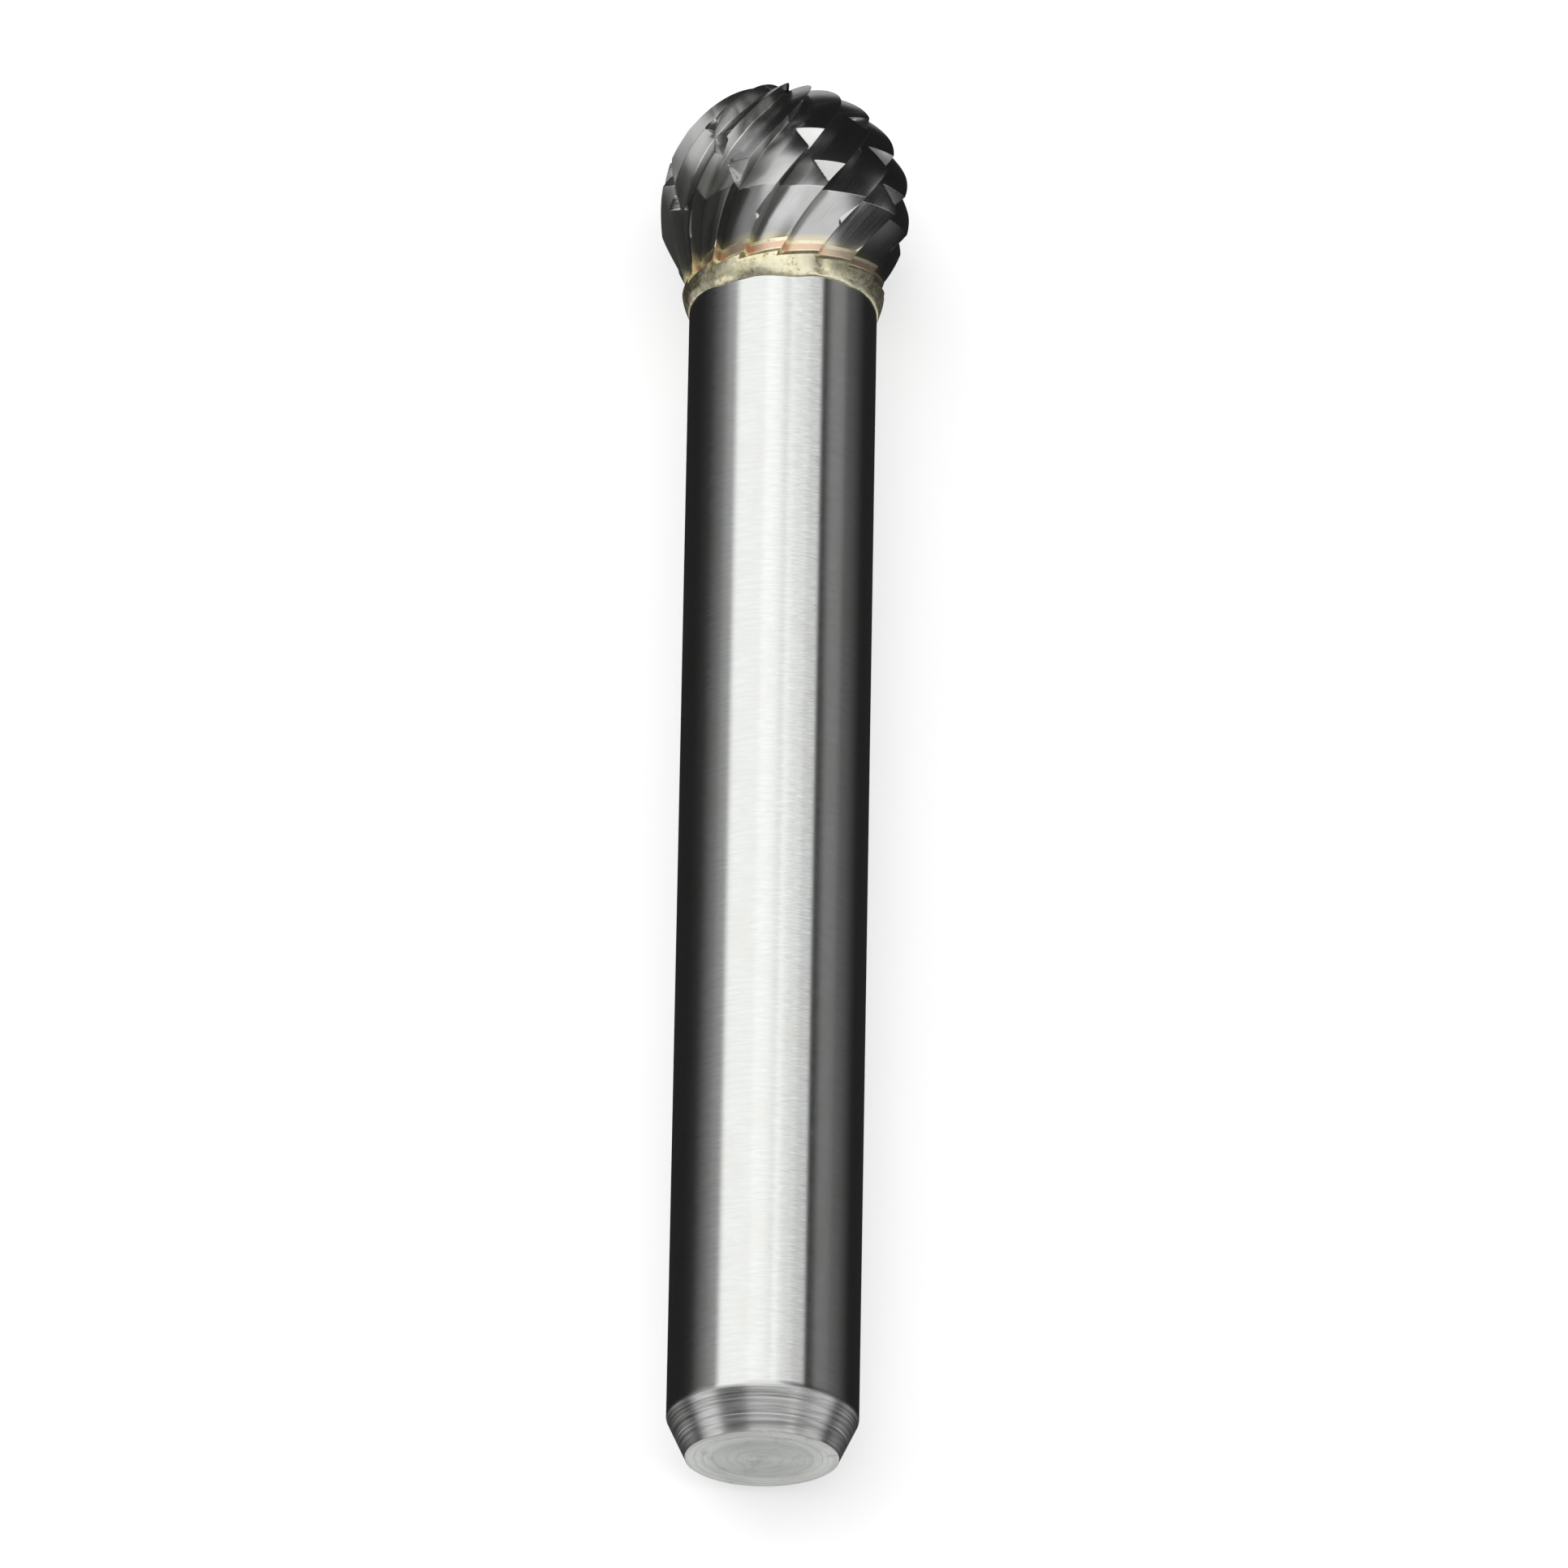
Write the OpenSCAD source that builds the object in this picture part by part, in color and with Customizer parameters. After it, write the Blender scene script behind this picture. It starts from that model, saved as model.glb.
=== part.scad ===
// Ball-shaped rotary burr: a fluted carbide head brazed onto a plain round steel shank.
// The tool lies along +Y with its head forward. The origin is the centre of the
// shank's flat end face, and +Z is up.

/* [Shank] */
// Diameter of the shank, the size that the collet grips
shank_d = 6; // [3:0.5:7]
// Length of the steel, from the shank's end face to the brazed joint
shank_len = 40; // [20:1:80]
// Length of the chamfer at the shank's free end, measured along the axis
chamfer_len = 1.3; // [0.5:0.1:2.5]
// Amount that the chamfer takes off the shank's radius
chamfer_depth = 0.6; // [0.2:0.05:1]
// Amount by which the brazed end is turned down, so that the braze can run over it
braze_step = 0.2; // [0.05:0.05:0.5]

/* [Head] */
// Diameter of the ball over the tips of its teeth
ball_d = 8; // [7.5:0.5:10]
// Length of the head along the axis, from the end of the steel to the tip
head_len = 7; // [6.6:0.1:7.2]
// Radius that the neck of the head stands out beyond the shank
neck_proud = 0.25; // [0.1:0.05:0.4]
// Latitude on the ball below which the flutes run straight down to the neck
straight_below = -14.5; // [-20:0.5:-8]
// Number of cutting teeth around the ball
teeth = 16; // [10:2:20]
// Axial length of one full turn of a flute, which is a right-hand helix
flute_lead = 33.5; // [25:0.5:80]
// Depth of the flutes below the tips of the teeth
flute_depth = 0.54; // [0.2:0.02:0.6]
// Share of the tooth pitch that the steep cutting face takes up
rake_share = 0.08; // [0.06:0.02:0.4]
// How hollow the long back of each tooth is, where 1 is straight
back_hollow = 1.1; // [1:0.05:2]

/* [Chip breakers] */
// Number of left-hand grooves that notch the teeth
breakers = 8; // [2:1:12]
// Axial length of one full turn of a chip breaker groove
breaker_lead = 42; // [30:1:90]
// Width of a chip breaker groove across its top
breaker_w = 0.9; // [0.4:0.05:1.4]
// Depth of a chip breaker groove below the tips of the teeth
breaker_depth = 0.38; // [0.1:0.02:0.46]

/* [Braze joint] */
// Thickness of the copper shim between the two layers of silver braze
copper_t = 0.2; // [0.1:0.02:0.3]
// Thickness of each layer of silver braze
silver_t = 0.12; // [0.06:0.02:0.16]
// Radius that the flat layers of the joint stand out beyond the shank
layer_proud = 0.12; // [0.04:0.02:0.3]
// Length of the braze collar that runs down over the end of the shank
collar_len = 0.9; // [0.4:0.1:2]
// Thickness of the braze collar where it is thickest
collar_proud = 0.18; // [0.06:0.02:0.3]

/* [Hidden] */

shank_r = shank_d / 2;
ball_r = ball_d / 2;
overall_len = shank_len + head_len;
ball_y = overall_len - ball_r;

// The stack of braze layers between the steel and the flat base of the head.
copper_y = shank_len + silver_t;
upper_silver_y = copper_y + copper_t;
base_y = upper_silver_y + silver_t;
layer_r = shank_r + layer_proud;
collar_r = shank_r + collar_proud;
collar_y = shank_len - collar_len;

// The neck of the head: straight flanks run from the ball down to this radius.
neck_r = shank_r + neck_proud;
base_lat = -atan((ball_y - base_y) / neck_r);
flank_top_r = ball_r * cos(straight_below);
flank_top_y = ball_y + ball_r * sin(straight_below);
flank_lat = -atan((flank_top_r - neck_r) / (flank_top_y - base_y));

// The mesh of the head: rows of points run around the ball, from its base to its tip.
rows = 34;
steps = 4;
top_lat = 85;
columns = teeth * steps;
// Near the tip the flutes get shallower with the pitch of the teeth.
depth_per_pitch = 0.5;
// The turning angle of the first tooth and the first chip breaker at the ball's centre.
first_tooth_angle = 7;
first_breaker_angle = 18.5;
// Thickness of the braze collar where it thins out on the shank.
collar_feather = 0.03;
smooth = 96;

// Latitude of a row, from the base of the ball (negative) to near its tip.
function row_lat(row) = base_lat + (top_lat - base_lat) * row / rows;

// Distance of the tips of the teeth from the ball's centre at a latitude: the ball itself,
// or the straight flank below it.
function crest_distance(lat) =
    lat > straight_below
        ? ball_r
        : ball_r * cos(straight_below - flank_lat) / cos(lat - flank_lat);

// Depth of the flutes at a latitude. They get shallower down the flank, so that they run
// out at the shank's surface.
function full_depth(lat) =
    lat > straight_below
        ? min(flute_depth, depth_per_pitch * 2 * PI * ball_r * cos(lat) / teeth)
        : neck_proud + (flute_depth - neck_proud)
            * (lat - base_lat) / (straight_below - base_lat);

// Where a step of the mesh sits within a tooth's pitch: the crest is at 0, the bottom of
// the flute is at rake_share, and the other steps share out the back of the tooth.
function step_phase(step) =
    step < 1 ? 0 : rake_share + (1 - rake_share) * (step - 1) / (steps - 1);

// Share of the full depth that is cut away at a phase of the pitch.
function tooth_cut(phase) =
    phase < rake_share
        ? phase / rake_share
        : pow((1 - phase) / (1 - rake_share), back_hollow);

// Turning angle of a flute or a groove at a place along the axis.
function turn_at(y, lead) = 360 * (y - ball_y) / lead;

// Distance around the ball from the middle of the nearest chip breaker groove.
function breaker_offset(angle, y, ring_r) =
    let (pitch = 360 / breakers,
         from_first = angle - first_breaker_angle + turn_at(y, breaker_lead),
         nearest = from_first - pitch * round(from_first / pitch))
    abs(nearest) * PI / 180 * ring_r;

// Depth of the chip breaker groove's V at a place on the ball.
function breaker_cut(angle, y, ring_r) =
    max(0, breaker_depth * (1 - 2 * breaker_offset(angle, y, ring_r) / breaker_w));

// One point of the head's surface.
function head_point(row, column) =
    let (lat = row_lat(row),
         tooth = floor(column / steps),
         phase = step_phase(column - tooth * steps),
         crest = crest_distance(lat),
         flute_cut = full_depth(lat) * tooth_cut(phase),
         y_plain = ball_y + (crest - flute_cut) * sin(lat),
         angle = first_tooth_angle + 360 * (tooth + phase) / teeth + turn_at(y_plain, flute_lead),
         notch = lat > straight_below ? breaker_cut(angle, y_plain, ball_r * cos(lat)) : 0,
         point_r = crest - max(flute_cut, min(notch, full_depth(lat))),
         y = row == 0 ? base_y : ball_y + point_r * sin(lat),
         ring = row == 0 ? neck_r - flute_cut : point_r * cos(lat))
    [ring * sin(angle), y, ring * cos(angle)];

// The fluted ball of tungsten carbide, flat where it is brazed to the shank.
module cutting_head() {
    tip = (rows + 1) * columns;
    points = concat(
        [for (row = [0:rows]) for (column = [0:columns - 1]) head_point(row, column)],
        [[0, overall_len, 0]]);
    base_face = [for (column = [0:columns - 1]) column];
    side_faces = [
        for (row = [0:rows - 1])
            for (column = [0:columns - 1])
                let (next = (column + 1) % columns,
                     here = row * columns,
                     above = here + columns)
                each [[here + column, above + column, above + next],
                      [here + column, above + next, here + next]]
    ];
    tip_faces = [
        for (column = [0:columns - 1])
            [rows * columns + column, tip, rows * columns + (column + 1) % columns]
    ];
    color("#4a4a48")
        polyhedron(points = points, faces = concat([base_face], side_faces, tip_faces));
}

// A round layer of the joint, lying across the axis.
module joint_layer(y, thickness, radius) {
    translate([0, y, 0])
        rotate([-90, 0, 0])
            cylinder(h = thickness, r = radius, $fn = smooth);
}

// Turns a profile drawn as radius and distance along the tool about the tool's axis.
module turned_about_y() {
    rotate([-90, 0, 0])
        rotate_extrude($fn = smooth)
            children();
}

// The layer of silver braze against the carbide.
module upper_braze_layer() {
    color("#d8c99a")
        joint_layer(upper_silver_y, silver_t, layer_r);
}

// The copper core of the braze, which takes up the stress between carbide and steel.
module copper_shim() {
    color("#e0a08a")
        joint_layer(copper_y, copper_t, layer_r);
}

// The silver braze against the steel, with the collar that has run down over the shank.
module braze_collar() {
    color("#d9cf9c")
        turned_about_y()
            polygon([
                [0, shank_len],
                [shank_r - braze_step, shank_len],
                [shank_r - braze_step, collar_y],
                [shank_r + collar_feather, collar_y],
                [shank_r + collar_proud * 0.75, collar_y + collar_len * 0.35],
                [collar_r, collar_y + collar_len * 0.75],
                [layer_r, copper_y],
                [0, copper_y]
            ]);
}

// The ground steel shank, chamfered at its free end and turned down under the braze collar.
module steel_shank() {
    color("#c3c6ca")
        turned_about_y()
            polygon([
                [0, 0],
                [shank_r - chamfer_depth, 0],
                [shank_r, chamfer_len],
                [shank_r, collar_y],
                [shank_r - braze_step, collar_y],
                [shank_r - braze_step, shank_len],
                [0, shank_len]
            ]);
}

cutting_head();
upper_braze_layer();
copper_shim();
braze_collar();
steel_shank();
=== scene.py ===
"""Looks of a ball-shaped rotary burr: a fluted carbide head brazed onto a ground steel shank.

The tool lies along +Y with its head forward, and +Z is up. Everything is in metres.
"""

import math

import bpy
import numpy as np
from mathutils import Matrix, Vector


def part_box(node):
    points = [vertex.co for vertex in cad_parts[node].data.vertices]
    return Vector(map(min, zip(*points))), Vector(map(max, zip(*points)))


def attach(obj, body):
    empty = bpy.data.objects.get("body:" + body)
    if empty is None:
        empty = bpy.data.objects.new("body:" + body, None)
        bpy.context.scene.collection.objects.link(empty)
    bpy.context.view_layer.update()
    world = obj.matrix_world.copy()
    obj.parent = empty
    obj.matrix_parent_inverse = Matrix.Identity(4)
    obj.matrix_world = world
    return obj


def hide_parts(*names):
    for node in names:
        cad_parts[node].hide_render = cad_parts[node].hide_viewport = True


MM = 0.001
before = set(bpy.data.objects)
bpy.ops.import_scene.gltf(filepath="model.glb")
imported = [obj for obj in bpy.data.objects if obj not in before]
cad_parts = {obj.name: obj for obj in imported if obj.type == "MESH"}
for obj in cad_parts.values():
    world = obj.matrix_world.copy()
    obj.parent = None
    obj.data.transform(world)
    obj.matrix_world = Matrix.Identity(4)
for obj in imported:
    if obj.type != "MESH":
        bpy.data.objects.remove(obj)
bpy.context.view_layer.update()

# ---------------------------------------------------------------- sizes taken from the frame

_, shank_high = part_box("steel_shank")
collar_low, collar_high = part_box("braze_collar")
copper_low, copper_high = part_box("copper_shim")
silver_low, silver_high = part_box("upper_braze_layer")
head_low, head_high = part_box("cutting_head")

SHANK_R = shank_high.x
STEEL_TOP = shank_high.y
BASE_Y = head_low.y
TIP_Y = head_high.y
BALL_R = 4.0 * MM  # nominal: the frame's faceted head is a little smaller
BALL_Y = TIP_Y - BALL_R

# ---------------------------------------------------------------- the head's cutting geometry

# The flutes: right-hand helices with a steep cutting face on one side and a long back on the other.
TEETH = 16
FLUTE_LEAD = 33.5 * MM
FIRST_TOOTH = math.radians(7.0)
FLUTE_DEPTH = 0.58 * MM
RAKE_SHARE = 0.03       # share of a tooth's pitch that its cutting face takes
BACK_HOLLOW = 1.06      # how hollow the back is: 1 is flat
FILLET = 0.10           # rounding of the flute's bottom, as a share of its depth
HOOK = 0.12             # how far a point in the flute is shifted under the crest, per depth
TIP_DEPTH = 0.50        # depth near the tip, as a share of the pitch there
SHORT_TOOTH_LATS = (math.radians(60), math.radians(74))  # where every second tooth ends
SHORT_TOOTH_CUT = 0.95  # how much of a short tooth is ground away past its end

# The chip breakers: left-hand grooves that notch the teeth, steep below and gentle above.
BREAKERS = 8
BREAKER_LEAD = 42.0 * MM
FIRST_BREAKER = math.radians(14.5)
BREAKER_DEPTH = 0.38 * MM
BREAKER_GENTLE = 0.77 * MM
BREAKER_STEEP = 0.07 * MM
BREAKER_END_LATS = (math.radians(33), math.radians(40))  # where the notches fade out
FLANK_NOTCH = 0.12      # share of the notches' depth that is left on the flank
UNBROKEN_TOOTH = TEETH - 2
UNBROKEN_LAT = math.radians(12)

# Below the deepest latitude the crests rise from the ball and the flutes get shallower, both with
# the square of the angle, down to a crease. From there a straight flank runs to the neck.
DEEPEST_LAT = math.radians(-2.0)
CREST_RISE = 2.6 * MM
DEPTH_FALL = 3.0 * MM
FLANK_TOP_LAT = math.radians(-14.5)
NECK_R = 3.22 * MM
NECK_CUT = 0.32 * MM

# The flutes go on below the neck through the braze, and run out over the collar.
NECK_FLARE = 0.25
RUNOUT_START = collar_high.y
RUNOUT_END = collar_high.y - 0.32 * MM
RUNOUT_RISE = 0.42 * MM


def smooth(x, low, high):
    """0 below low, 1 above high, with a soft step between them."""
    t = np.clip((x - low) / (high - low), 0.0, 1.0)
    return t * t * (3.0 - 2.0 * t)


def waves(*fields, seed, scale):
    """Repeatable soft noise in about -1 to 1: four octaves of five sines in random directions."""
    maker = np.random.default_rng(seed)
    total = np.zeros_like(fields[0], dtype=float)
    size, weight, weights = scale, 1.0, 0.0
    for _ in range(4):
        for _ in range(5):
            direction = maker.normal(size=len(fields))
            direction /= np.linalg.norm(direction)
            shift = maker.uniform(0, 2 * math.pi)
            wave = sum(d * f for d, f in zip(direction, fields)) * size
            total += weight * np.sin(wave + shift)
        weights += weight * 5 ** 0.5
        size *= 1.9
        weight *= 0.6
    return total / weights


def tooth_cut(phase):
    """Share of the flute's depth cut away: 0 at the crest (phase 0 and 1), deepest past the rake."""
    rake = phase / RAKE_SHARE
    back = (np.clip(1 - phase, 0, 1) / (1 - RAKE_SHARE)) ** BACK_HOLLOW
    blend = np.clip(FILLET - np.abs(rake - back), 0, None) / FILLET
    return np.minimum(rake, back) - blend * blend * FILLET / 4


def flute_turn(y):
    """How far round the axis a flute has turned at a height."""
    return 2 * math.pi * (y - BALL_Y) / FLUTE_LEAD


def flute_angle(tooth, phase, y, cut, ring):
    """Angle round the axis of a point in a flute, whose cutting face leans back under its crest."""
    return FIRST_TOOTH + 2 * math.pi * (tooth + phase) / TEETH + flute_turn(y) - HOOK * cut / ring


# Worked out from these: the crease, and the flank as a line whose normal has the latitude FLANK_LAT.
FLANK_TOP_DISTANCE = BALL_R + 0.5 * CREST_RISE * (DEEPEST_LAT - FLANK_TOP_LAT) ** 2
FLANK_TOP_R = FLANK_TOP_DISTANCE * math.cos(FLANK_TOP_LAT)
FLANK_TOP_Y = BALL_Y + FLANK_TOP_DISTANCE * math.sin(FLANK_TOP_LAT)
FLANK_LAT = -math.atan((FLANK_TOP_R - NECK_R) / (FLANK_TOP_Y - BASE_Y))
HOOK_RING = BALL_R * math.cos(FLANK_TOP_LAT)
BASE_LAT = -math.atan((BALL_Y - BASE_Y) / NECK_R)


def crest_distance(lat):
    """Distance of the crests from the ball's centre: the ball, or the straight flank below it."""
    flank = FLANK_TOP_DISTANCE * math.cos(FLANK_TOP_LAT - FLANK_LAT) / np.cos(lat - FLANK_LAT)
    ball = BALL_R + 0.5 * CREST_RISE * np.clip(DEEPEST_LAT - lat, 0, None) ** 2
    return np.where(lat > FLANK_TOP_LAT, ball, flank)


def flute_depth(lat):
    """Depth of the flutes: least where the teeth close up at the tip and along the flank."""
    pitch = 2 * math.pi * BALL_R * np.cos(lat) / TEETH
    below = np.clip(DEEPEST_LAT - lat, 0, DEEPEST_LAT - FLANK_TOP_LAT)
    upper = np.minimum(FLUTE_DEPTH - 0.5 * DEPTH_FALL * below ** 2, TIP_DEPTH * pitch)
    crease = FLUTE_DEPTH - 0.5 * DEPTH_FALL * (DEEPEST_LAT - FLANK_TOP_LAT) ** 2
    down = np.clip((FLANK_TOP_LAT - lat) / (FLANK_TOP_LAT - BASE_LAT), 0, 1)
    return np.where(lat > FLANK_TOP_LAT, upper, crease + (NECK_CUT - crease) * down)


def breaker_cut(theta, y, ring_r):
    """Depth of the left-hand chip breaker grooves: a steep wall below, a long slope above."""
    pitch = 2 * math.pi / BREAKERS
    slope = 2 * math.pi / BREAKER_LEAD
    off = theta - FIRST_BREAKER + slope * (y - BALL_Y)
    off = off - pitch * np.round(off / pitch)
    tilt = np.arctan(ring_r * slope)
    across = off * ring_r * np.cos(tilt)
    gentle = BREAKER_DEPTH * (1 - across / BREAKER_GENTLE)
    steep = BREAKER_DEPTH * (1 + across / BREAKER_STEEP)
    return np.maximum(np.minimum(gentle, steep), 0.0)


def grid_mesh(name, points):
    """A closed body from rows of points: each row is a ring, and both ends close on a centre point."""
    rows, cols, _ = points.shape
    here = np.arange(cols)
    ahead = (here + 1) % cols
    first = np.arange(rows - 1)[:, None] * cols
    quads = np.stack([first + here, first + ahead, first + cols + ahead, first + cols + here], -1)
    low_centre = np.full(cols, rows * cols)
    high_centre = low_centre + 1
    top = (rows - 1) * cols
    low_cap = np.stack([low_centre, ahead, here], -1)
    high_cap = np.stack([high_centre, top + here, top + ahead], -1)
    centres = [[0, points[0, :, 1].mean(), 0], [0, points[-1, :, 1].mean(), 0]]
    verts = np.concatenate([points.reshape(-1, 3), centres])
    faces = quads.reshape(-1, 4).tolist() + low_cap.tolist() + high_cap.tolist()
    mesh = bpy.data.meshes.new(name)
    mesh.from_pydata(verts.tolist(), [], faces)
    mesh.update()
    return mesh


def add_field(mesh, name, values):
    """Stores one vector per grid point, for a material to read; the two end centres get zeros."""
    values = np.concatenate([values.reshape(-1, 3), np.zeros((2, 3))])
    field = mesh.attributes.new(name, "FLOAT_VECTOR", "POINT")
    field.data.foreach_set("vector", values.astype(np.float32).ravel())


def place(mesh, name, material, sharp_deg, node):
    """Makes a finished piece from a mesh: smooth but for sharp edges, riding on the root body."""
    for polygon in mesh.polygons:
        polygon.use_smooth = True
    mesh.set_sharp_from_angle(angle=math.radians(sharp_deg))
    piece = bpy.data.objects.new(name, mesh)
    bpy.context.scene.collection.objects.link(piece)
    mesh.materials.append(material)
    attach(piece, "root")
    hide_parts(node)


# ---------------------------------------------------------------- material building blocks

class Nodes:
    """A short way to build a node tree: each method adds one node and gives back its output."""

    def __init__(self, tree):
        self.tree = tree
        tree.nodes.clear()

    def node(self, kind, **inputs):
        """Adds a node of any kind and gives back the node itself."""
        made = self.tree.nodes.new(kind)
        for key, value in inputs.items():
            self.feed(made.inputs[key], value)
        return made

    def feed(self, socket, value):
        """Links another node's output to a socket, or sets the socket to a plain value."""
        if isinstance(value, bpy.types.NodeSocket):
            self.tree.links.new(value, socket)
        else:
            socket.default_value = value

    def math(self, operation, a, b=0.0):
        made = self.tree.nodes.new("ShaderNodeMath")
        made.operation = operation
        self.feed(made.inputs[0], a)
        self.feed(made.inputs[1], b)
        return made.outputs[0]

    def step(self, value, low, high, to_low=0.0, to_high=1.0):
        """A soft step from to_low to to_high as the value goes from low to high."""
        made = self.tree.nodes.new("ShaderNodeMapRange")
        made.interpolation_type = "SMOOTHSTEP"
        self.feed(made.inputs["Value"], value)
        self.feed(made.inputs["From Min"], low)
        self.feed(made.inputs["From Max"], high)
        self.feed(made.inputs["To Min"], to_low)
        self.feed(made.inputs["To Max"], to_high)
        return made.outputs["Result"]

    def noise(self, vector, scale, detail=3.0, rough=0.55):
        made = self.tree.nodes.new("ShaderNodeTexNoise")
        self.feed(made.inputs["Vector"], vector)
        self.feed(made.inputs["Scale"], scale)
        self.feed(made.inputs["Detail"], detail)
        self.feed(made.inputs["Roughness"], rough)
        return made.outputs["Fac"]

    def stretch(self, vector, x, y, z):
        made = self.tree.nodes.new("ShaderNodeVectorMath")
        made.operation = "MULTIPLY"
        self.feed(made.inputs[0], vector)
        made.inputs[1].default_value = (x, y, z)
        return made.outputs[0]

    def mix(self, factor, a, b):
        """A mix of two colours: sockets 6 and 7 are the node's colour inputs, 2 its colour output."""
        made = self.tree.nodes.new("ShaderNodeMix")
        made.data_type = "RGBA"
        self.feed(made.inputs[0], factor)
        self.feed(made.inputs[6], a)
        self.feed(made.inputs[7], b)
        return made.outputs[2]

    def attribute(self, name):
        made = self.tree.nodes.new("ShaderNodeAttribute")
        made.attribute_name = name
        return made.outputs["Vector"]

    def bump(self, height, strength, distance, normal=None):
        made = self.tree.nodes.new("ShaderNodeBump")
        self.feed(made.inputs["Height"], height)
        self.feed(made.inputs["Strength"], strength)
        self.feed(made.inputs["Distance"], distance)
        if normal is not None:
            self.feed(made.inputs["Normal"], normal)
        return made.outputs["Normal"]


def new_material(name):
    """An empty material: the material, its node builder and its shader."""
    material = bpy.data.materials.new(name)
    material.use_nodes = True
    nodes = Nodes(material.node_tree)
    shader = material.node_tree.nodes.new("ShaderNodeBsdfPrincipled")
    output = material.node_tree.nodes.new("ShaderNodeOutputMaterial")
    material.node_tree.links.new(shader.outputs[0], output.inputs[0])
    return material, nodes, shader


def rgb(r, g, b):
    """An opaque colour."""
    return (r, g, b, 1.0)


# Heights above the joint, in mm, between which the cutting faces turn from painted shade to a painted
# highlight, and over which a smear of braze on the carbide fades out.
RAKE_LIGHT_HEIGHTS = (2.2, 3.4)
SMEAR_HEIGHTS = (0.08, 0.34)


def carbide_material():
    """Ground tungsten carbide: dark grey, with fine grinding lines that run along the flutes."""
    dark, light, streak = rgb(0.43, 0.43, 0.42), rgb(0.47, 0.475, 0.475), rgb(0.52, 0.525, 0.525)
    # The first two colours on the next line are painted shade and a painted highlight for the cutting
    # faces.
    rake_shade, rake_highlight = rgb(0.30, 0.30, 0.285), rgb(0.92, 0.92, 0.91)
    # The notch faces' colour is partly their own lighter grinding and partly a painted highlight.
    notch_tone_and_highlight, smear = rgb(0.62, 0.62, 0.61), rgb(0.66, 0.60, 0.44)
    material, n, shader = new_material("carbide")
    flute = n.attribute("flute")
    lines = n.noise(n.stretch(flute, 30.0, 0.35, 1.0), 1.0, 3.0, 0.6)
    fine = n.noise(n.stretch(flute, 110.0, 1.2, 1.0), 1.0, 2.0, 0.5)
    blotch = n.noise(n.stretch(flute, 1.3, 1.3, 1.0), 1.0, 3.0, 0.6)
    tone = n.mix(n.step(blotch, 0.3, 0.7), dark, light)
    tone = n.mix(n.math("MULTIPLY", n.step(lines, 0.35, 0.75), 0.5), tone, streak)
    marks = n.node("ShaderNodeSeparateXYZ", Vector=n.attribute("marks"))
    notched, rake, above_joint = marks.outputs[0], marks.outputs[1], marks.outputs[2]
    # Painted light on the cutting faces: darkened near the joint as painted shade, and far brighter
    # than carbide higher up as a painted highlight.
    rake_painted_light = n.mix(n.step(above_joint, *RAKE_LIGHT_HEIGHTS), rake_shade, rake_highlight)
    tone = n.mix(rake, tone, rake_painted_light)
    # Notch faces lightened: partly their own lighter grinding, partly a painted highlight.
    tone = n.mix(notched, tone, notch_tone_and_highlight)
    ragged = n.math("ADD", above_joint, n.math("MULTIPLY", blotch, 0.12))
    tone = n.mix(n.step(ragged, *SMEAR_HEIGHTS, 0.85, 0.0), tone, smear)
    n.feed(shader.inputs["Base Color"], tone)
    n.feed(shader.inputs["Metallic"], 1.0)
    rough = n.step(lines, 0.2, 0.8, 0.18, 0.27)
    n.feed(shader.inputs["Roughness"], n.math("ADD", rough, n.math("MULTIPLY", notched, 0.07)))
    n.feed(shader.inputs["Anisotropic"], 0.55)
    n.feed(shader.inputs["Tangent"], n.attribute("across"))
    normal = n.bump(lines, 0.05, 0.006 * MM)
    n.feed(shader.inputs["Normal"], n.bump(fine, 0.03, 0.003 * MM, normal))
    return material


def silver_material(name, bright):
    """Silver braze alloy: pale gold, with painted shade in its pits, and darker in patches on the
    left.
    """
    pale = rgb(0.90 * bright, 0.855 * bright, 0.64 * bright)
    dull = rgb(0.74 * bright, 0.67 * bright, 0.42 * bright)
    left_patch_tone, pit_shade = rgb(0.46, 0.41, 0.24), rgb(0.34, 0.29, 0.15)
    material, n, shader = new_material(name)
    where = n.node("ShaderNodeTexCoord").outputs["Object"]
    blotch = n.noise(where, 1900.0, 4.0, 0.65)
    grain = n.noise(where, 9000.0, 3.0, 0.6)
    tone = n.mix(n.step(blotch, 0.45, 0.75), pale, dull)
    across = n.node("ShaderNodeSeparateXYZ", Vector=where).outputs[0]
    # Darker olive patches over the left side.
    left_side = n.step(across, -2.6 * MM, 0.2 * MM, 1.0, 0.0)
    left_patches = n.math("MULTIPLY", left_side, n.step(n.noise(where, 4200.0, 4.0, 0.7), 0.42, 0.60))
    tone = n.mix(n.math("MULTIPLY", left_patches, 0.75), tone, left_patch_tone)
    # Painted shade: small pits, only bumped, are darkened here by colour.
    pit_shade_mask = n.math("MULTIPLY", n.step(grain, 0.60, 0.70), n.step(blotch, 0.40, 0.55))
    tone = n.mix(pit_shade_mask, tone, pit_shade)
    n.feed(shader.inputs["Base Color"], tone)
    n.feed(shader.inputs["Metallic"], 1.0)
    n.feed(shader.inputs["Roughness"], n.step(grain, 0.3, 0.7, 0.30, 0.48))
    n.feed(shader.inputs["Normal"], n.bump(grain, 0.3, 0.02 * MM))
    return material


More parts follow.
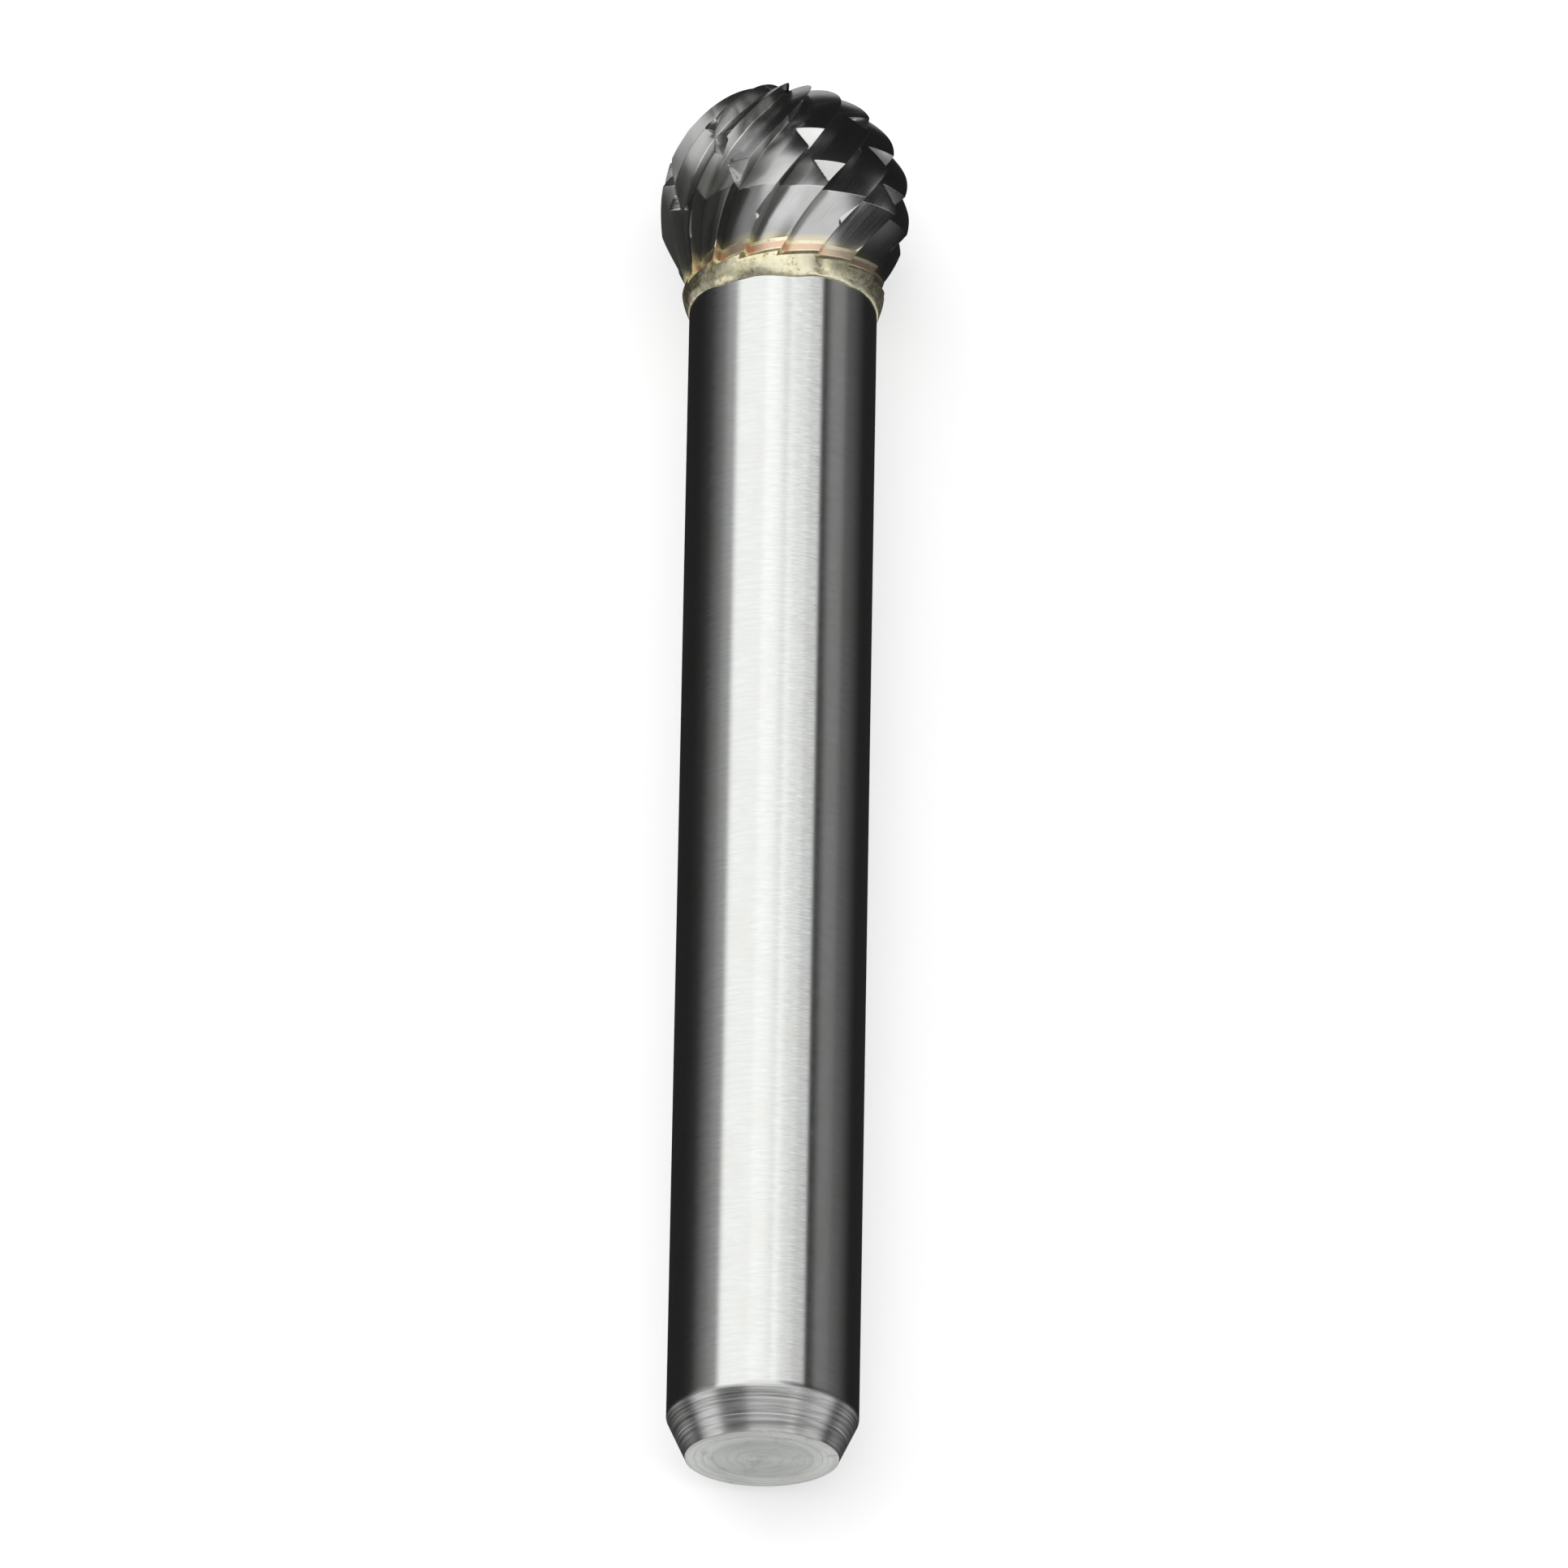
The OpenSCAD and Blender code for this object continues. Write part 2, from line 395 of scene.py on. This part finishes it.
def copper_material():
    """The copper core, ground flush: pink, with silver smeared over it in places."""
    pink, silvered = rgb(0.70, 0.47, 0.35), rgb(0.72, 0.58, 0.43)
    material, n, shader = new_material("copper")
    where = n.node("ShaderNodeTexCoord").outputs["Object"]
    smear = n.noise(where, 1500.0, 3.0, 0.6)
    tone = n.mix(n.step(smear, 0.35, 0.65), pink, silvered)
    n.feed(shader.inputs["Base Color"], tone)
    n.feed(shader.inputs["Metallic"], 1.0)
    n.feed(shader.inputs["Roughness"], n.step(smear, 0.3, 0.7, 0.30, 0.42))
    n.feed(shader.inputs["Normal"], n.bump(smear, 0.2, 0.01 * MM))
    return material


# The shank's free end: a flat face inside a chamfer. The travels are distances in mm along the
# outline from the centre of the end face, first to its rim and then to the chamfer's far edge.
CHAMFER_IN = 0.6 * MM
CHAMFER_LEN = 1.3 * MM
FACE_R = SHANK_R - CHAMFER_IN
END_TRAVEL = FACE_R / MM
TAPER_TRAVEL = END_TRAVEL + math.hypot(CHAMFER_IN, CHAMFER_LEN) / MM


def steel_material():
    """Ground steel: fine lines run round the shank, so reflections smear along it."""
    grey, light, warm = rgb(0.60, 0.612, 0.603), rgb(0.645, 0.657, 0.643), rgb(0.61, 0.612, 0.585)
    face_middle, face_rim = rgb(0.62, 0.635, 0.61), rgb(0.76, 0.775, 0.745)
    face_ring, face_stain = rgb(0.48, 0.49, 0.46), rgb(0.40, 0.405, 0.37)
    # The second colour on the next line is painted shade for the chamfer's turning grooves.
    ridge, groove_shade = rgb(0.64, 0.645, 0.64), rgb(0.34, 0.34, 0.33)
    material, n, shader = new_material("ground_steel")
    turn = n.attribute("turn")
    coarse = n.noise(n.stretch(turn, 1.2, 9.0, 1.0), 1.0, 4.0, 0.65)
    fine = n.noise(n.stretch(turn, 3.0, 45.0, 1.0), 1.0, 3.0, 0.6)
    blotch = n.noise(n.stretch(turn, 0.8, 0.5, 1.0), 1.0, 3.0, 0.6)
    ground = n.mix(n.step(coarse, 0.3, 0.7), grey, light)
    ground = n.mix(n.step(blotch, 0.45, 0.75), ground, warm)
    travel = n.node("ShaderNodeSeparateXYZ", Vector=turn).outputs[1]
    rings = n.noise(n.stretch(turn, 0.25, 9.0, 0.25), 1.0, 4.0, 0.7)
    on_end = n.step(travel, END_TRAVEL - 0.06, END_TRAVEL, 1.0, 0.0)
    on_taper = n.step(travel, TAPER_TRAVEL - 0.03, TAPER_TRAVEL + 0.03, 1.0, 0.0)
    faced = n.mix(n.step(travel, 1.45, 1.75), face_middle, face_rim)
    faced = n.mix(n.math("MULTIPLY", n.step(rings, 0.45, 0.62), 0.55), faced, face_ring)
    where = n.node("ShaderNodeTexCoord").outputs["Object"]
    stained = n.step(n.noise(where, 1500.0, 4.0, 0.7), 0.52, 0.68, 0.0, 0.45)
    faced = n.mix(stained, faced, face_stain)
    # Painted shade: the chamfer's turning grooves are darkened in bands by colour.
    chamfer_with_groove_shade = n.mix(n.step(rings, 0.42, 0.66), ridge, groove_shade)
    n.feed(shader.inputs["Base Color"], n.mix(on_end, n.mix(on_taper, ground, chamfer_with_groove_shade), faced))
    n.feed(shader.inputs["Metallic"], 1.0)
    rough = n.step(fine, 0.2, 0.8, 0.17, 0.25)
    n.feed(shader.inputs["Roughness"], n.math("ADD", rough, n.math("MULTIPLY", on_taper, 0.14)))
    n.feed(shader.inputs["Anisotropic"], 0.75)
    n.feed(shader.inputs["Tangent"], n.attribute("along"))
    normal = n.bump(coarse, 0.12, 0.006 * MM)
    n.feed(shader.inputs["Normal"], n.bump(fine, 0.10, 0.003 * MM, normal))
    return material


# ---------------------------------------------------------------- the cutting head

# How finely the head and the joint are meshed.
TOOTH_COLUMNS = 64
RAKE_COLUMNS = 18
BALL_ROWS = 330
FLANK_ROWS = 90
LAYER_ROWS = 6
COLLAR_ROWS = 90
LAST_LAT = math.radians(88.5)


def flute_columns():
    """Tooth number and phase of every column of the mesh, closer together on the cutting faces."""
    rake_end = RAKE_SHARE * 1.5
    rake = np.linspace(0, rake_end, RAKE_COLUMNS + 1)[:-1]
    back = np.linspace(rake_end, 1.0, TOOTH_COLUMNS - RAKE_COLUMNS + 1)[:-1]
    phases = np.concatenate([rake, back])
    return np.repeat(np.arange(TEETH), TOOTH_COLUMNS), np.tile(phases, TEETH)


def head_notch(lat, y, theta, tooth):
    """Depth of the chip breakers where they are ground: over the ball's middle, faint on the flank."""
    notch = breaker_cut(theta, y, BALL_R * np.cos(lat))
    notch *= 1 - smooth(lat, *BREAKER_END_LATS)
    notch *= np.where((tooth == UNBROKEN_TOOTH) & (lat > UNBROKEN_LAT), 0.0, 1.0)
    return notch * np.where(lat > FLANK_TOP_LAT, 1.0, FLANK_NOTCH)


def ball_rows(tooth, phase):
    """The ball above the crease, in rows of equal latitude: heights, radii, angles and notching."""
    lats = np.linspace(FLANK_TOP_LAT, LAST_LAT, BALL_ROWS)
    lat, tooth_g = np.meshgrid(lats, tooth, indexing="ij")
    phase_g = np.broadcast_to(phase, lat.shape)
    crest, depth = crest_distance(lat), flute_depth(lat)
    cut = depth * tooth_cut(phase_g)
    plain_y = BALL_Y + (crest - cut) * np.sin(lat)
    theta = flute_angle(tooth_g, phase_g, plain_y, cut, BALL_R * np.maximum(np.cos(lat), 0.35))
    ended = np.where(tooth_g % 2 == 1, smooth(lat, *SHORT_TOOTH_LATS), 0.0)
    cut = np.maximum(cut, depth * ended * SHORT_TOOTH_CUT)
    notch = np.minimum(head_notch(lat, plain_y, theta, tooth_g), depth)
    radius = crest - np.maximum(cut, notch)
    return BALL_Y + radius * np.sin(lat), radius * np.cos(lat), theta, notch - cut


def flank_rows(tooth, phase):
    """The straight flank from the neck up to the crease, with the same four results.

    Its notches are looked up a hair below the crease, so that the crease itself counts as flank.
    """
    depth = float(flute_depth(np.array(FLANK_TOP_LAT)))
    crease = FLANK_TOP_DISTANCE - depth * tooth_cut(phase)
    crease_y = BALL_Y + crease * math.sin(FLANK_TOP_LAT)
    crease_r = crease * math.cos(FLANK_TOP_LAT)
    neck = NECK_R - NECK_CUT * tooth_cut(phase)
    up, tooth_g = np.meshgrid(np.linspace(0, 1, FLANK_ROWS), tooth, indexing="ij")
    y = BASE_Y + (crease_y - BASE_Y) * up
    floor = neck + (crease_r - neck) * up
    shallow = (depth + (NECK_CUT - depth) * (1 - up)) * tooth_cut(phase)
    theta = flute_angle(tooth_g, phase, y, shallow, HOOK_RING)
    slope = (FLANK_TOP_R - NECK_R) / (FLANK_TOP_Y - BASE_Y)
    crest = NECK_R + (y - BASE_Y) * slope
    just_below = np.arctan2(y - BALL_Y, crest) - 1e-6
    notch = head_notch(just_below, y, theta, tooth_g)
    ring = np.minimum(floor, crest - notch)
    return y, ring, theta, floor - crest + notch


def build_head(material):
    """The carbide head, with the fields that its material reads."""
    tooth, phase = flute_columns()
    flank, ball = flank_rows(tooth, phase), ball_rows(tooth, phase)
    y, ring, theta, notched = (np.concatenate([a[:-1], b]) for a, b in zip(flank, ball))
    notched = smooth(notched, 0.0, 0.004 * MM)
    points = np.stack([ring * np.sin(theta), y, ring * np.cos(theta)], -1)
    mesh = grid_mesh("cutting_head_fluted", points)
    lat = np.arctan2(y - BALL_Y, ring)
    pitch_mm = 2 * math.pi * BALL_R / TEETH / MM
    # Neighbouring teeth read the noise seven pitches apart, so that no two look alike.
    flute_x = np.broadcast_to((tooth * 7.0 + phase) * pitch_mm, y.shape)
    add_field(mesh, "flute", np.stack([flute_x, lat * BALL_R / MM, 0 * y], -1))
    rake = np.broadcast_to(1 - smooth(phase, RAKE_SHARE, RAKE_SHARE * 2.0), y.shape)
    marks = np.stack([notched, rake, (y - BASE_Y) / MM], -1)
    add_field(mesh, "marks", marks)
    lean = np.arctan(2 * math.pi * ring / FLUTE_LEAD)
    around = np.stack([np.cos(theta), 0 * theta, -np.sin(theta)], -1)
    north = np.stack([-np.sin(lat) * np.sin(theta), np.cos(lat), -np.sin(lat) * np.cos(theta)], -1)
    across = around * np.cos(lean)[..., None] - north * np.sin(lean)[..., None]
    add_field(mesh, "across", across)
    place(mesh, "cutting_head_fluted", material, 32, "cutting_head")


# ---------------------------------------------------------------- the brazed joint

def joint_grid(ys):
    """A grid that follows the flutes down past the head: heights, angles and the flutes' floor."""
    tooth, phase = flute_columns()
    y, tooth_g = np.meshgrid(ys, tooth, indexing="ij")
    phase_g = np.broadcast_to(phase, y.shape)
    crest = NECK_R + (y - BASE_Y) * NECK_FLARE
    below = np.clip((RUNOUT_START - y) / (RUNOUT_START - RUNOUT_END), 0, None)
    rise = RUNOUT_RISE * below ** 2
    cut = NECK_CUT * tooth_cut(phase_g)
    floor = crest - cut + rise
    theta = flute_angle(tooth_g, phase_g, y, np.maximum(cut - rise, 0.0), HOOK_RING)
    return y, theta, floor


def build_layer(name, low, high, material, node):
    """One thin layer of the braze foil, ground flush with the flutes."""
    y, theta, floor = joint_grid(np.linspace(low, high, LAYER_ROWS))
    points = np.stack([floor * np.sin(theta), y, floor * np.cos(theta)], -1)
    mesh = grid_mesh(name, points)
    place(mesh, name, material, 32, node)


COLLAR_SWELL = 0.2 * MM
COLLAR_LUMPS = 0.038 * MM
COLLAR_RAGGED = 0.20         # how far up the collar its ragged lower edge reaches, as a share
COLLAR_SUNK = 0.05 * MM      # how far the mesh dips under the steel below that edge
COLLAR_DEEPEST = 0.15 * MM   # how far a flute may cut into the collar below the shank's surface
FOLD_ANGLE = math.radians(23)
FOLD_WIDTH = math.radians(4)
FOLD_DEPTH = 0.05 * MM
SEAT_R = SHANK_R - 0.2 * MM  # radius of the steel inside the collar


def build_collar(material):
    """The braze that ran down over the shank: lumpy, with one fold and a ragged lower edge."""
    low, high = collar_low.y, collar_high.y
    y, theta, floor = joint_grid(np.linspace(low, high, COLLAR_ROWS))
    x3, z3 = np.sin(theta) * 3, np.cos(theta) * 3
    ragged = waves(x3, z3, seed=11, scale=1.1)
    edge = COLLAR_RAGGED * (1 + np.clip(ragged, -1, 1)) / 2
    above = ((y - low) / (high - low) - edge) / (1 - edge)
    swell = np.sin(np.clip(above * 1.15, 0, 1) * math.pi / 2) ** 0.7
    lumps = waves(x3, z3, y / MM * 1.2, seed=3, scale=1.4)
    chamfer_with_groove_shade = np.arctan2(np.sin(theta - FOLD_ANGLE), np.cos(theta - FOLD_ANGLE))
    fold = np.exp(-(chamfer_with_groove_shade / FOLD_WIDTH) ** 2)
    ring = SHANK_R + 0.02 * MM + COLLAR_SWELL * swell
    ring += COLLAR_LUMPS * lumps * smooth(above, 0.0, 0.25)
    ring -= FOLD_DEPTH * fold * smooth(above, 0.0, 0.3)
    ring = np.where(above < 0, SHANK_R - COLLAR_SUNK, ring)
    ring = np.maximum(np.minimum(ring, floor), SHANK_R - COLLAR_DEEPEST)
    seat = np.stack([np.full(ring.shape[1], STEEL_TOP), np.full(ring.shape[1], low)])
    y = np.concatenate([seat, y])
    theta = np.concatenate([theta[:1], theta[:1], theta])
    ring = np.concatenate([np.full_like(seat, SEAT_R), ring])
    points = np.stack([ring * np.sin(theta), y, ring * np.cos(theta)], -1)
    mesh = grid_mesh("braze_collar_run", points)
    place(mesh, "braze_collar_run", material, 40, "braze_collar")


# ---------------------------------------------------------------- the shank

SHANK_COLUMNS = 256
FACE_RINGS = 14
FACE_RIDGE = 0.004 * MM
RIM_BREAK = 0.02 * MM
CHAMFER_GROOVES = 9
GROOVE_STEPS = 6


def shank_profile():
    """Radius and height of the shank's outline, from the centre of its end face upwards."""
    points = []
    for i in range(1, FACE_RINGS * 4):
        ridge = FACE_RIDGE * (0.5 - 0.5 * math.cos(2 * math.pi * i / 4))
        points.append((FACE_R * i / (FACE_RINGS * 4), ridge))
    points.append((FACE_R - 0.03 * MM, 0.0))
    points.append((FACE_R, RIM_BREAK))
    maker = np.random.default_rng(21)
    widths = maker.uniform(0.5, 1.5, CHAMFER_GROOVES)
    edges = np.concatenate([[0], np.cumsum(widths)]) / widths.sum()
    dips = maker.uniform(0.002, 0.007, CHAMFER_GROOVES) * MM
    for start, end, deep in zip(edges, edges[1:], dips):
        for i in range(GROOVE_STEPS):
            along = start + (end - start) * i / GROOVE_STEPS
            if along > 0:
                dip = deep * (0.5 - 0.5 * math.cos(2 * math.pi * i / GROOVE_STEPS))
                points.append((FACE_R + CHAMFER_IN * along - dip,
                               RIM_BREAK + (CHAMFER_LEN - RIM_BREAK) * along))
    points.append((SHANK_R - 0.02 * MM, CHAMFER_LEN - 0.03 * MM))
    points.append((SHANK_R, CHAMFER_LEN + 0.04 * MM))
    under_collar = collar_low.y + COLLAR_RAGGED * (collar_high.y - collar_low.y)
    points += [(SHANK_R, y) for y in np.linspace(CHAMFER_LEN + 0.2 * MM, under_collar, 120)]
    points.append((SEAT_R, under_collar + 0.02 * MM))
    points.append((SEAT_R, STEEL_TOP))
    return np.array(points)


def build_shank(material):
    """The steel shank, with the fields that its material reads."""
    profile = shank_profile()
    theta = np.linspace(0, 2 * math.pi, SHANK_COLUMNS, endpoint=False)
    ring, th = np.meshgrid(profile[:, 0], theta, indexing="ij")
    y = np.broadcast_to(profile[:, 1][:, None], ring.shape)
    points = np.stack([ring * np.sin(th), y, ring * np.cos(th)], -1)
    mesh = grid_mesh("steel_shank_ground", points)
    steps = np.concatenate([[0], np.cumsum(np.hypot(*np.diff(profile, axis=0).T))]) / MM
    travel = np.broadcast_to(steps[:, None], ring.shape)
    turn = np.stack([np.sin(th) * 3, travel, np.cos(th) * 3], -1)
    add_field(mesh, "turn", turn)
    slope = np.gradient(profile, axis=0)
    slope /= np.linalg.norm(slope, axis=1)[:, None]
    outward, upward = slope[:, 0][:, None], np.broadcast_to(slope[:, 1][:, None], th.shape)
    along = np.stack([outward * np.sin(th), upward, outward * np.cos(th)], -1)
    add_field(mesh, "along", along)
    place(mesh, "steel_shank_ground", material, 20, "steel_shank")


build_head(carbide_material())
build_layer("upper_braze_ring", silver_low.y, silver_high.y,
            silver_material("silver_braze_upper", 0.95), "upper_braze_layer")
build_layer("copper_shim_ring", copper_low.y, copper_high.y,
            copper_material(), "copper_shim")
build_collar(silver_material("silver_braze_collar", 1.0))
build_shank(steel_material())

# ---------------------------------------------------------------- studio: floor, light, camera

FLOOR_GLOW = 0.47


def build_floor():
    """A plain pale floor that the tool rests on: it touches the ball and the shank's lower edge."""
    mesh = bpy.data.meshes.new("floor")
    size = 3.0
    touch_y, touch_z = CHAMFER_LEN, -SHANK_R
    rise = (-BALL_R - touch_z) / (BALL_Y - touch_y)
    corners = []
    for x, y in ((-size, -size), (size, -size), (size, size), (-size, size)):
        corners.append((x, y, touch_z + rise * (y - touch_y)))
    mesh.from_pydata(corners, [], [(0, 1, 2, 3)])
    floor = bpy.data.objects.new("floor", mesh)
    bpy.context.scene.collection.objects.link(floor)
    material, n, shader = new_material("pale_floor")
    where = n.node("ShaderNodeTexCoord").outputs["Object"]
    tone = n.mix(n.noise(where, 30.0), rgb(0.93, 0.93, 0.93), rgb(0.95, 0.95, 0.95))
    n.feed(shader.inputs["Base Color"], tone)
    n.feed(shader.inputs["Roughness"], 0.9)
    n.feed(shader.inputs["Specular IOR Level"], 0.0)
    n.feed(shader.inputs["Emission Color"], rgb(1.0, 1.0, 1.0))
    n.feed(shader.inputs["Emission Strength"], FLOOR_GLOW)
    mesh.materials.append(material)
    floor.visible_glossy = False


# Each panel of the studio, in degrees: its span round the tool's axis from straight up, its span
# towards the head, how soft its four edges are (left, right, low, high), how many degrees its high
# edge climbs per degree round the axis, and last its brightness.
PANELS = (
    ("key left", (-57, -20), (-2, 39), (9, 6, 8, 12), -0.30, 1.42),
    ("key right", (-20, 46), (-28, 32), (6, 5, 8, 5), -0.92, 1.12),
    ("key middle", (-20, 9), (19, 39), (6, 6, 6, 12), -0.30, 0.58),
    ("key strip", (9, 34), (20, 30), (8, 6, 3, 4), 0.0, 2.10),
    ("key corner", (34, 49.5), (20, 30), (6, 4, 3, 4), 0.0, 1.72),
    ("left shoulder", (-74, -56), (28, 51), (12, 6, 6, 8), 0.0, 0.75),
    ("left falloff", (-86, -59), (-45, 12), (32, 6, 20, 6), 0.0, 0.42),
    ("left edge", (-84, -59), (12, 30), (32, 6, 6, 12), 0.0, 0.22),
    ("left high card", (-122, -59), (34, 57), (14, 6, 10, 10), 0.0, 0.40),
    ("left low card", (-95, -60), (-27, -7), (10, 8, 8, 6), 0.0, 1.25),
    ("right strip", (62, 104), (13, 28), (8, 40, 6, 6), 0.0, 0.17),
    ("right upper card", (60, 88), (30, 39), (8, 8, 5, 5), 0.0, 1.1),
    ("right low card", (36, 62), (-27, -6), (4, 10, 7, 5), 0.0, 1.10),
    ("right far card", (63, 95), (-30, -7), (8, 12, 8, 6), 0.0, 1.35),
    ("far left card", (-190, -166), (32, 54), (12, 10, 8, 8), 0.0, 0.5),
    ("front low card", (112, 248), (-80, -6), (20, 20, 12, 12), 0.0, 0.72),
    ("low fill", (-112, 112), (-90, -36), (20, 20, 10, 10), 0.0, 0.10),
    ("rear band", (-38, 42), (-90, -54), (12, 8, 6, 8), 0.0, 0.90),
)
STUDIO_DARK = 0.022


def build_world():
    """The studio's soft panels, and a plain pale backdrop that only the camera sees."""
    world = bpy.data.worlds.new("studio")
    bpy.context.scene.world = world
    world.use_nodes = True
    n = Nodes(world.node_tree)
    facing = n.node("ShaderNodeTexCoord").outputs["Generated"]
    split = n.node("ShaderNodeSeparateXYZ", Vector=facing)
    x, y, z = (split.outputs[i] for i in range(3))
    degrees = 180 / math.pi
    round_axis = n.math("MULTIPLY", n.math("ARCTAN2", x, z), degrees)
    to_head = n.math("MULTIPLY", n.math("ARCSINE", y), degrees)
    total = STUDIO_DARK
    for _, (left, right), (low, high), soft, slant, power in PANELS:
        soft_left, soft_right, soft_low, soft_high = (width / 2 for width in soft)
        angle = round_axis
        if right > 180:
            behind = n.math("LESS_THAN", angle, 0.0)
            angle = n.math("ADD", angle, n.math("MULTIPLY", behind, 360.0))
        if left < -180:
            behind = n.math("GREATER_THAN", angle, 0.0)
            angle = n.math("SUBTRACT", angle, n.math("MULTIPLY", behind, 360.0))
        across = n.math("MULTIPLY", n.step(angle, left - soft_left, left + soft_left),
                        n.step(angle, right - soft_right, right + soft_right, 1.0, 0.0))
        level = n.math("SUBTRACT", to_head, n.math("MULTIPLY", angle, slant))
        along = n.math("MULTIPLY", n.step(to_head, low - soft_low, low + soft_low),
                       n.step(level, high - soft_high, high + soft_high, 1.0, 0.0))
        total = n.math("ADD", total, n.math("MULTIPLY", n.math("MULTIPLY", across, along), power))
    studio = n.node("ShaderNodeBackground", Color=total)
    backdrop = n.node("ShaderNodeBackground", Color=rgb(0.93, 0.93, 0.93))
    seen = n.node("ShaderNodeLightPath").outputs["Is Camera Ray"]
    both = n.node("ShaderNodeMixShader", Fac=seen)
    n.feed(both.inputs[1], studio.outputs[0])
    n.feed(both.inputs[2], backdrop.outputs[0])
    out = n.tree.nodes.new("ShaderNodeOutputWorld")
    n.feed(out.inputs[0], both.outputs[0])


CAMERA_ELEVATION = math.radians(66.46)
CAMERA_ROLL = math.radians(1.05)
CAMERA_DISTANCE = 0.5
CAMERA_LENS = 363.4
AIM_RIGHT = 0.292 * MM
AIM_DOWN = 0.618 * MM


def build_camera():
    """The camera looks down along the tool from above the shank's free end."""
    back = Vector((0, -math.cos(CAMERA_ELEVATION), math.sin(CAMERA_ELEVATION)))
    right = Vector((1, 0, 0))
    up = back.cross(right)
    right, up = (right * math.cos(CAMERA_ROLL) + up * math.sin(CAMERA_ROLL),
                 up * math.cos(CAMERA_ROLL) - right * math.sin(CAMERA_ROLL))
    aim = Vector((0, TIP_Y / 2, 0)) + right * AIM_RIGHT - up * AIM_DOWN
    data = bpy.data.cameras.new("camera")
    data.sensor_width = 36.0
    data.lens = CAMERA_LENS
    data.clip_start = 0.01
    data.clip_end = 20.0
    camera = bpy.data.objects.new("camera", data)
    bpy.context.scene.collection.objects.link(camera)
    facing = Matrix((right, up, back)).transposed().to_4x4()
    camera.matrix_world = Matrix.Translation(aim + back * CAMERA_DISTANCE) @ facing
    bpy.context.scene.camera = camera


build_floor()
build_world()
build_camera()
view = bpy.context.scene.view_settings
view.view_transform = "Standard"
view.look = "None"
